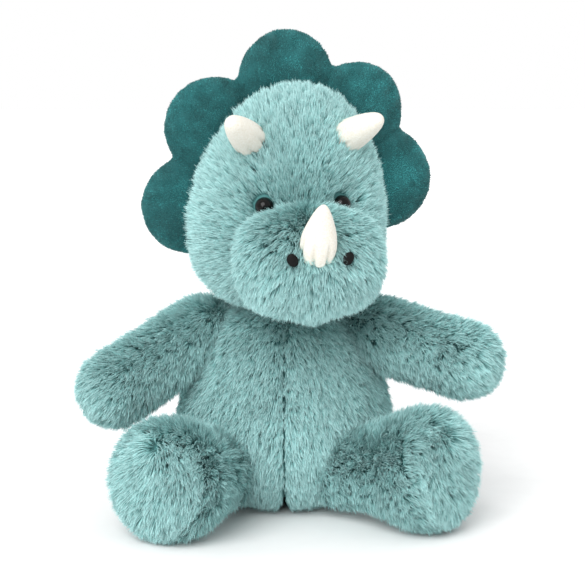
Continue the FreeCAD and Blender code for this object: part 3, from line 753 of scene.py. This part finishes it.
def stitched_nostril(name, middle, slant):
    """An oval satin-stitched pad: a ball pressed flat, with a groove between neighbouring threads."""
    bpy.ops.mesh.primitive_uv_sphere_add(segments=48, ring_count=32, radius=1.0)
    pad = bpy.context.object
    pad.name = name
    rows = points_of(pad)
    groove = 1.0 - GROOVE_DEPTH * np.abs(np.sin(STITCH_ROWS * math.pi * rows[:, 1]))
    rows = rows * np.array(NOSTRIL_HALF) * MM
    rows[:, 2] *= groove
    set_points(pad, rows)
    turned = aimed(middle + NOSTRIL_PROUD * MM * face_ahead, face_ahead)
    pad.data.transform(turned @ Matrix.Rotation(slant, 4, "Z"))
    pick(pad)
    bpy.ops.object.shade_smooth()
    return pad


for side, sign in SIDES.items():
    slant = math.radians(NOSTRIL_SLANT * sign)
    pad = stitched_nostril(f"nostril_stitches_{side}", nostril_middle[side], slant)
    finished(pad, nostril_thread, "head", [f"nostril_{side}"])
print("nostrils are stitched")

# %% [markdown]
# ## Arms, legs and tail
#
# The limbs are bags too, each made along its own axis and then aimed from the joint where it turns. Their
# pile is brushed towards the paw or foot. The legs have the longest pile, which falls open on the sole.

# %% Arms
ARM_FORWARD = {"left": 30.0, "right": 34.0}
ARM_DROOP = {"left": 10.0, "right": 25.0}
ARM_RINGS = [(6, -17), (14, -12), (18.5, 0), (19.5, 18), (19, 40), (19, 60), (20, 74), (18, 85), (12, 92),
             (4, 95)]
ARM_DRIFT = Vector((0.0, 0.0, -0.45))


def limb_direction(side, ahead, up):
    """Unit vector from the angle ahead of straight out sideways and the angle above level."""
    level = math.cos(math.radians(up))
    turn = math.radians(ahead)
    outward = SIDES[side] * level * math.cos(turn)
    return Vector((outward, -level * math.sin(turn), math.sin(math.radians(up))))


for number, side in enumerate(SIDES):
    aim = limb_direction(side, ARM_FORWARD[side], -ARM_DROOP[side])
    shoulder = joint_place(f"arm_{side}_raise")
    arm_skin = melted(f"arm_skin_{side}", [ringed_bag(ARM_RINGS, aimed(shoulder, aim))])
    stuffed(arm_skin, cap=3.0)
    arm_nodes = [f"arm_top_panel_{side}", f"arm_under_panel_{side}", f"arm_stuffing_{side}"]
    coat_later(arm_skin, f"arm_{side}", arm_nodes, 0.8, comb=along(aim + ARM_DRIFT),
               length=11.0, width=0.62, per_mm2=4.1, lean=52.0, lock_mm2=10.0, gather=0.22,
               seed=21 + number, wild=0.2)

# %% Legs
LEG_SPLAY = {"left": 55.0, "right": 32.0}
LEG_RISE = {"left": 7.0, "right": 5.5}
LEG_RINGS = [(8, -18), (16, -12), (20, 0), (21, 22), (25, 40), (30.5, 55), (33, 67), (32.5, 76), (28, 83),
             (17, 86)]
SOLE_ALONG = 86.0
SOLE_EDGE = 10.0
SOLE_DRIFT = (0.0, 0.0, -0.6)
LEG_DRIFT = (0.0, 0.0, -0.25)
PARTING_ALONG = 84.0
PARTING_RISE = 22.0


def leg_comb(aim, sole_middle, parting):
    """Comb: along the leg, and on the sole away from a parting near its top and down."""
    aim = np.array(aim)

    def comb(place):
        depth = (place - np.array(sole_middle)) @ aim
        offset = place - np.array(parting)
        outward = unit(offset - (offset @ aim)[:, None] * aim) + np.array(SOLE_DRIFT)
        on_sole = np.clip(1.0 + depth / (SOLE_EDGE * MM), 0.0, 1.0)[:, None]
        return on_sole * outward + (1.0 - on_sole) * (aim + np.array(LEG_DRIFT))
    return comb


for number, side in enumerate(SIDES):
    aim = limb_direction(side, 90.0 - LEG_SPLAY[side], LEG_RISE[side])
    hip = joint_place(f"leg_{side}_lift")
    leg_skin = melted(f"leg_skin_{side}", [ringed_bag(LEG_RINGS, aimed(hip, aim))], rounds=4)
    stuffed(leg_skin, cap=3.0)
    above_floor(leg_skin, 3.0)
    leg_nodes = [f"leg_top_panel_{side}", f"leg_under_panel_{side}", f"foot_sole_{side}",
                 f"leg_stuffing_{side}"]
    sole_middle = hip + SOLE_ALONG * MM * aim
    sole_parting = hip + PARTING_ALONG * MM * aim + Vector((0.0, 0.0, PARTING_RISE * MM))
    coat_later(leg_skin, f"leg_{side}", leg_nodes, 0.8, comb=leg_comb(aim, sole_middle, sole_parting),
               length=12.0, width=0.62, per_mm2=3.9, lean=50.0, lock_mm2=11.0, gather=0.22,
               seed=31 + number, wild=0.2)

# %% Tail
TAIL_RINGS = [(6, -16), (14, -10), (18, 0), (17, 18), (13.5, 36), (9.5, 54), (5, 68), (2, 72)]
TAIL_DROP = math.radians(14.0)
tail_aim = Vector((0.0, math.cos(TAIL_DROP), -math.sin(TAIL_DROP)))
tail_bag = ringed_bag(TAIL_RINGS, aimed(joint_place("tail_swing"), tail_aim))
tail_skin = melted("tail_skin", [tail_bag], rounds=3)
stuffed(tail_skin, cap=3.0)
above_floor(tail_skin, 3.0)
coat_later(tail_skin, "tail", ["tail_panel_left", "tail_panel_right", "tail_stuffing"], 0.8,
           comb=along(tail_aim), length=10.0, width=0.6, per_mm2=4.2, lean=52.0, lock_mm2=10.0, gather=0.2,
           seed=41)

# %% [markdown]
# ## Frill
#
# The frill is a scalloped band of five padded lobes, two layers of velboa sewn along the rim and through
# the valleys. Each lobe's outline is an arc from valley to valley through its tip. The band is extruded,
# remeshed, and given the profile of a pillow, thin at its seams, with small puckers next to the seams and
# broad folds across the lobes. Then it is blown up a little with the seams held, as stuffing does.

# %% Frill outline
FRILL_HEIGHT = 198.0
FRILL_BEHIND = 8.0
FRILL_VALLEYS = [(-116.0, 66.0), (-65.0, 80.0), (-19.5, 88.0), (19.5, 97.0), (57.0, 93.0), (104.0, 67.0)]
FRILL_TIPS = [(-90.0, 95.0), (-45.0, 104.0), (0.0, 118.0), (42.0, 112.0), (76.0, 103.0)]
FRILL_INNER = 48.0
FRILL_THICK = 6.0
LOBE_POINTS = 14


def polar(degrees, radius):
    """A point of the frill's flat pattern, turned from upright."""
    turn = math.radians(degrees)
    return Vector((radius * math.sin(turn), FRILL_BEHIND, FRILL_HEIGHT + radius * math.cos(turn))) * MM


def lobe(start, tip, stop):
    """Points of the arc from a valley through the tip to the next valley."""
    a, b = tip - start, stop - start
    normal = a.cross(b)
    centre = start + (normal.cross(a) * b.length_squared + b.cross(normal) * a.length_squared) / (
        2.0 * normal.length_squared)
    swing = (start - centre).angle(tip - centre) + (tip - centre).angle(stop - centre)
    axis = (start - centre).cross(tip - centre).normalized()
    turns = [Matrix.Rotation(swing * k / LOBE_POINTS, 3, axis) for k in range(LOBE_POINTS)]
    return [centre + turn @ (start - centre) for turn in turns]


rim = []
for valley, tip, next_valley in zip(FRILL_VALLEYS, FRILL_TIPS, FRILL_VALLEYS[1:]):
    rim += lobe(polar(*valley), polar(*tip), polar(*next_valley))
rim.append(polar(*FRILL_VALLEYS[-1]))
outline = rim + [polar(angle, FRILL_INNER) for angle in range(104, -117, -10)]
print("frill outline:", len(outline), "points")

# %% Frill
FRILL_VOXEL = 2.2 * MM
PILLOW_REACH = 17.0
PILLOW_HALF = 6.0
SEAM_HALF = 0.7
PUCKER = 0.40
PUCKER_WAVES = 38.0
PUCKER_PLACE = 4.0
PUCKER_WIDTH = 5.0
FOLD_HEIGHT = 2.4
FOLD_WAVES = 11.0
FOLD_START = 55.0
FOLD_REACH = 50.0
HELD_WIDTH = 1.6
HELD_INNER = 4.0
# Painted shade on the frill's nap along its seams, and painted light in the middle of each lobe.
SEAM_PAINTED_SHADE = -0.30
LOBE_PAINTED_LIGHT = 0.45
LOBE_PAINTED_LIGHT_REACH = 20.0
frill_mesh = bpy.data.meshes.new("frill_cloth")
frill_mesh.from_pydata(outline, [], [range(len(outline))])
frill = bpy.data.objects.new("frill_cloth", frill_mesh)
bpy.context.collection.objects.link(frill)
pick(frill)
bpy.ops.object.mode_set(mode="EDIT")
bpy.ops.mesh.select_all(action="SELECT")
bpy.ops.mesh.extrude_region_move(TRANSFORM_OT_translate={"value": (0.0, FRILL_THICK * MM, 0.0)})
bpy.ops.mesh.select_all(action="SELECT")
bpy.ops.transform.translate(value=(0.0, -FRILL_THICK / 2.0 * MM, 0.0))
bpy.ops.mesh.normals_make_consistent(inside=False)
bpy.ops.object.mode_set(mode="OBJECT")
melted("frill_cloth", [frill], voxel=FRILL_VOXEL, rounds=2)


def to_segment(flat, start, stop):
    """Distance of flat places to a straight piece of seam."""
    way = stop - start
    share = np.clip((flat - start) @ way / (way @ way), 0.0, 1.0)
    return np.linalg.norm(flat - start - share[:, None] * way, axis=1)


def flattened(point):
    """A point of the flat pattern as two numbers, in millimetres."""
    return np.array((point.x, point.z)) / MM


def seam_distance(rows):
    """Millimetres from each place to the nearest seam: the rim or a stitched valley."""
    flat = rows[:, [0, 2]] / MM
    line = [flattened(point) for point in rim]
    gap = np.full(len(rows), 1e9)
    for start, stop in zip(line, line[1:]):
        gap = np.minimum(gap, to_segment(flat, start, stop))
    for angle, radius in FRILL_VALLEYS[1:-1]:
        start, stop = flattened(polar(angle, FRILL_INNER)), flattened(polar(angle, radius))
        gap = np.minimum(gap, to_segment(flat, start, stop))
    return gap


rows = points_of(frill)
gap = seam_distance(rows)
fullness = np.sqrt(1.0 - (1.0 - np.clip(gap / PILLOW_REACH, 0.0, 1.0)) ** 2)
around = np.arctan2(rows[:, 0], rows[:, 2] - FRILL_HEIGHT * MM)
from_middle = np.hypot(rows[:, 0], rows[:, 2] - FRILL_HEIGHT * MM)
wave = np.sin(PUCKER_WAVES * around + 2.0 * np.sin(9.0 * around))
pucker = 1.0 + PUCKER * wave * np.exp(-((gap - PUCKER_PLACE) / PUCKER_WIDTH) ** 2)
middle = FRILL_BEHIND * MM
half_thick = SEAM_HALF + PILLOW_HALF * fullness * pucker
rows[:, 1] = middle + (rows[:, 1] - middle) * half_thick / (FRILL_THICK / 2.0)
reach = np.clip((from_middle / MM - FOLD_START) / FOLD_REACH, 0.0, 1.0)
rows[:, 1] += FOLD_HEIGHT * MM * reach * np.sin(FOLD_WAVES * around + 1.8 * np.sin(5.0 * around + 1.0))
set_points(frill, rows)
held = frill.vertex_groups.new(name="stitched")
for index in np.nonzero((gap < HELD_WIDTH) | (from_middle < (FRILL_INNER + HELD_INNER) * MM))[0]:
    held.add([int(index)], 1.0, "REPLACE")
stuffed(frill, cap=3.0, pressure=6.0, held="stitched")
frill.data.transform(head_place)
to_flat = np.array(head_place.inverted())


def rim_tone(place):
    """Painted shade on the nap near a seam and painted light in the middle of each lobe."""
    flat = place @ to_flat[:3, :3].T + to_flat[:3, 3]
    return SEAM_PAINTED_SHADE + LOBE_PAINTED_LIGHT * np.clip(seam_distance(flat) / LOBE_PAINTED_LIGHT_REACH, 0.0, 1.0)


frill_middle = head_place @ Vector((0.0, 0.0, FRILL_HEIGHT * MM))
coat_later(frill, "head", ["frill_front", "frill_back", "frill_batting"], 0.5,
           material=frill_velboa, slot="frill_velboa", comb=away_from(frill_middle), length=1.3, width=0.45,
           per_mm2=2.4, lean=60.0, lock_mm2=30.0, gather=0.0, seed=51, wild=0.25, tone=rim_tone)

# %% Grow the fur on every skin
trees = {skin.name: BVHTree.FromPolygons([vertex.co for vertex in skin.data.vertices],
                                         [tuple(face.vertices) for face in skin.data.polygons])
         for skin, *_ in coats if skin is not frill}
for skin, body, nodes, fill, material, slot, pile in coats:
    others = [tree for name, tree in trees.items() if name != skin.name]
    grow_pile(skin, others, **pile)
    finished(skin, material, body, nodes)

# %% [markdown]
# ## Horns
#
# Each horn is a stuffed cone of ivory velboa with a blunt tip. Its cloth is gathered where it is sewn on, so
# small pleats run up from the base, and one seam runs the whole length.

# %% Horns
BROW_RINGS = [(9, -9), (10.9, -3), (11.2, 3), (10.6, 10), (9.4, 18), (7.8, 25), (6, 31), (3.8, 35),
              (1.4, 36.5)]
NOSE_RINGS = [(10.5, -8), (11.5, -2), (11.8, 3), (11, 9), (9, 16), (6.7, 23), (4.4, 28.5), (2.2, 32),
              (0.8, 33)]
PLEATS = 7
PLEAT_DEPTH = 0.26
PLEAT_REACH = 16.0
HORN_SEAM_DEPTH = 0.10
HORN_SEAM_WIDTH = 0.10


def horn(name, rings, place, spin):
    """A horn with pleats at its base and a seam."""
    cloth = melted(name, [ringed_bag(rings, Matrix.Identity(4))], voxel=1.3 * MM, rounds=3)
    rows = points_of(cloth)
    angle = np.arctan2(rows[:, 1], rows[:, 0]) + spin
    height = rows[:, 2] / MM
    deep = np.clip(1.0 - height / PLEAT_REACH, 0.0, 1.0) ** 1.5
    pleat = 1.0 - PLEAT_DEPTH * deep * np.maximum(0.0, np.cos(PLEATS * angle)) ** 3
    from_seam = np.angle(np.exp(1j * (angle - math.pi / 2.0)))
    seam = 1.0 - HORN_SEAM_DEPTH * np.exp(-(from_seam / HORN_SEAM_WIDTH) ** 2)
    rows[:, :2] *= (pleat * seam)[:, None]
    set_points(cloth, rows)
    stuffed(cloth, cap=0.8, pressure=2.0)
    cloth.data.transform(place)
    pick(cloth)
    bpy.ops.object.shade_smooth()
    return cloth


def horn_place(node_name, aim):
    """The middle of a CAD horn's box, and its direction turned with the head."""
    low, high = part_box(node_name)
    return (low + high) / 2.0, head_place.to_3x3() @ aim.normalized()


BROW_MIDDLE = 15.0
NOSE_MIDDLE = 14.0
BROW_SPIN = 0.7
NOSE_SPIN = 0.2
BROW_AIM = Vector((0.50, -0.75, 0.43))
NOSE_LEAN = math.radians(30.0)
for side, sign in SIDES.items():
    middle, aim = horn_place(f"brow_horn_{side}", Vector((sign * BROW_AIM.x, BROW_AIM.y, BROW_AIM.z)))
    brow_place = aimed(middle - BROW_MIDDLE * MM * aim, aim)
    brow = horn(f"brow_horn_cloth_{side}", BROW_RINGS, brow_place, BROW_SPIN * sign)
    brow_nodes = [f"brow_horn_{side}", f"brow_horn_{side}_stuffing"]
    finished(brow, ivory_velboa, "head", brow_nodes)
middle, aim = horn_place("nose_horn", Vector((0.0, -math.sin(NOSE_LEAN), math.cos(NOSE_LEAN))))
nose = horn("nose_horn_cloth", NOSE_RINGS, aimed(middle - NOSE_MIDDLE * MM * aim, aim), NOSE_SPIN)
finished(nose, ivory_velboa, "head", ["nose_horn", "nose_horn_stuffing"])

# %% [markdown]
# ## Care label
#
# The label is one strip of satin ribbon, folded in the middle and sewn into the seam by both ends. It is
# extruded from its edge along the strip's path and given its small thickness with Solidify.

# %% Care label
RIBBON_WIDTH = 0.016
RIBBON_FOLD_R = 0.55 * MM
RIBBON_THICK = 0.2 * MM
RIBBON_INWARD = 12.0 * MM
label_low, label_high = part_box("care_label")
label_out = Vector((label_low.x + label_high.x, label_low.y + label_high.y, 0.0)).normalized()
label_across = Vector((-label_out.y, label_out.x, 0.0))
label_root = (label_low + label_high) / 2.0 - RIBBON_INWARD * label_out
RIBBON_RUN = 22.0 * MM
STEPS = 12
path = []
for step in range(STEPS + 1):
    path.append(label_root + step / STEPS * RIBBON_RUN * label_out - RIBBON_FOLD_R * label_across)
for step in range(1, STEPS):
    turn = math.pi * step / STEPS
    bend = math.sin(turn) * label_out - math.cos(turn) * label_across
    path.append(label_root + RIBBON_RUN * label_out + RIBBON_FOLD_R * bend)
for step in range(STEPS, -1, -1):
    path.append(label_root + step / STEPS * RIBBON_RUN * label_out + RIBBON_FOLD_R * label_across)
half_width = Vector((0.0, 0.0, RIBBON_WIDTH / 2.0))
ribbon_mesh = bpy.data.meshes.new("care_label_ribbon")
ribbon_mesh.from_pydata([path[0] - half_width, path[0] + half_width], [(0, 1)], [])
ribbon = bpy.data.objects.new("care_label_ribbon", ribbon_mesh)
bpy.context.collection.objects.link(ribbon)
pick(ribbon)
bpy.ops.object.mode_set(mode="EDIT")
bpy.ops.mesh.select_all(action="SELECT")
for start, stop in zip(path, path[1:]):
    bpy.ops.mesh.extrude_region_move(TRANSFORM_OT_translate={"value": stop - start})
bpy.ops.object.mode_set(mode="OBJECT")
thickness = ribbon.modifiers.new("thickness", "SOLIDIFY")
thickness.thickness = RIBBON_THICK
thickness.offset = 0.0
apply_modifiers(ribbon)
pick(ribbon)
bpy.ops.object.mode_set(mode="EDIT")
bpy.ops.mesh.select_all(action="SELECT")
bpy.ops.mesh.normals_make_consistent(inside=False)
bpy.ops.object.mode_set(mode="OBJECT")
finished(ribbon, label_satin, "torso", ["care_label"])

# %% Hard pieces and hidden pieces keep their CAD shapes
CAD_FINISHES = {
    "eye_plastic": (eye_plastic, ["eye_left", "eye_right"]),
    "washer_plastic": (washer_plastic, ["eye_washer_left", "eye_washer_right"]),
    "seam_thread": (seam_thread, ["neck_seam_thread", "shoulder_seam_thread_left",
                                  "shoulder_seam_thread_right", "hip_seam_thread_left",
                                  "hip_seam_thread_right", "closing_stitches"]),
    "pouch_cloth": (pouch_cloth, ["pellet_pouch"]),
    "pellets": (pellets, ["pellet_fill"]),
}
for material, names in CAD_FINISHES.values():
    for name in names:
        frame["nodes"][name].data.materials.clear()
        frame["nodes"][name].data.materials.append(material)
print("CAD nodes finished:", sum(len(names) for _, names in CAD_FINISHES.values()))
